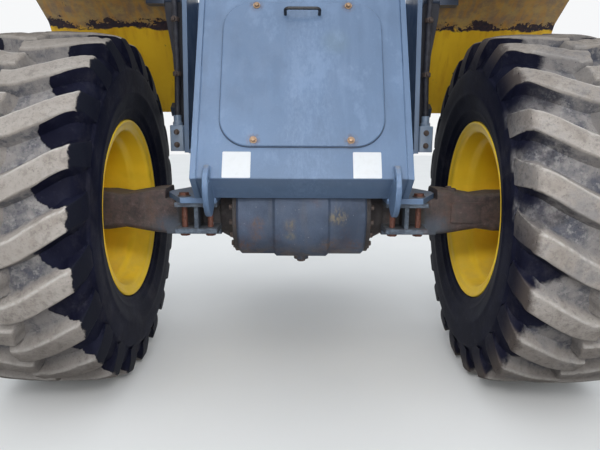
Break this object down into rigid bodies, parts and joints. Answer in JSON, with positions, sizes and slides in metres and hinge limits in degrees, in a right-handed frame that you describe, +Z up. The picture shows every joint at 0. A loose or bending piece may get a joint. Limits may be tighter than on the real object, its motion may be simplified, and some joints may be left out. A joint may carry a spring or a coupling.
{
  "type": "wheel loader front chassis",
  "caption": "Front chassis of an articulated wheel loader: frame with boom towers and hinge plates, drive axle, lugged wheels that turn, fenders and an inspection cover.",
  "frame": {"origin": "middle of the lower articulation bore, at the rear of the front frame", "axes": "+X to the machine's left, +Y to the machine's rear, +Z up"},
  "size_m": [2.39, 2.0885, 1.8486],
  "materials": {
    "frame_paint": "worn semi-gloss",
    "axle_paint": "dirty paint over casting",
    "bolt_steel": "rusty",
    "wheel_paint": "satin",
    "fender_paint": "worn satin",
    "handle_black": "semi-gloss",
    "tyre": "dusty",
    "hose_rubber": "matt"
  },
  "bodies": {
    "chassis": {"side_plate_left": "frame_paint", "side_plate_right": "frame_paint", "outer_tower_left": "frame_paint", "outer_tower_right": "frame_paint", "tower_gusset_left": "frame_paint", "tower_gusset_right": "frame_paint", "tie_down_ear_left": "frame_paint", "tie_down_ear_right": "frame_paint", "saddle_left": "frame_paint", "saddle_right": "frame_paint", "axle_arm_left": "axle_paint", "axle_arm_right": "axle_paint", "seat_bolts_left": "bolt_steel", "seat_bolts_right": "bolt_steel", "fender_left": "fender_paint", "fender_right": "fender_paint", "fender_stays_left": "frame_paint", "fender_stays_right": "frame_paint", "hose_left": "hose_rubber", "hose_right": "hose_rubber", "hose_fittings_left": "bolt_steel", "hose_fittings_right": "bolt_steel", "steering_lug_left": "frame_paint", "steering_lug_right": "frame_paint", "front_plate": "frame_paint", "inspection_cover": "frame_paint", "cover_handle": "handle_black", "axle_centre": "axle_paint", "pinion_carrier": "axle_paint", "hinge_plate_lower": "frame_paint", "hinge_plate_upper": "frame_paint", "bulkhead": "frame_paint", "cross_tube": "frame_paint"},
    "wheel_left": {"tyre_left": "tyre", "rim_left": "wheel_paint", "hub_left": "wheel_paint"},
    "wheel_right": {"tyre_right": "tyre", "rim_right": "wheel_paint", "hub_right": "wheel_paint"}
  },
  "joints": [
    {"name": "wheel_left_spin", "type": "hinge", "parent": "chassis", "child": "wheel_left", "pos_m": [0.918, -1.3, 0.08], "axis": [1, 0, 0], "continuous": true},
    {"name": "wheel_right_spin", "type": "hinge", "parent": "chassis", "child": "wheel_right", "pos_m": [-0.918, -1.3, 0.08], "axis": [1, 0, 0], "continuous": true}
  ]
}
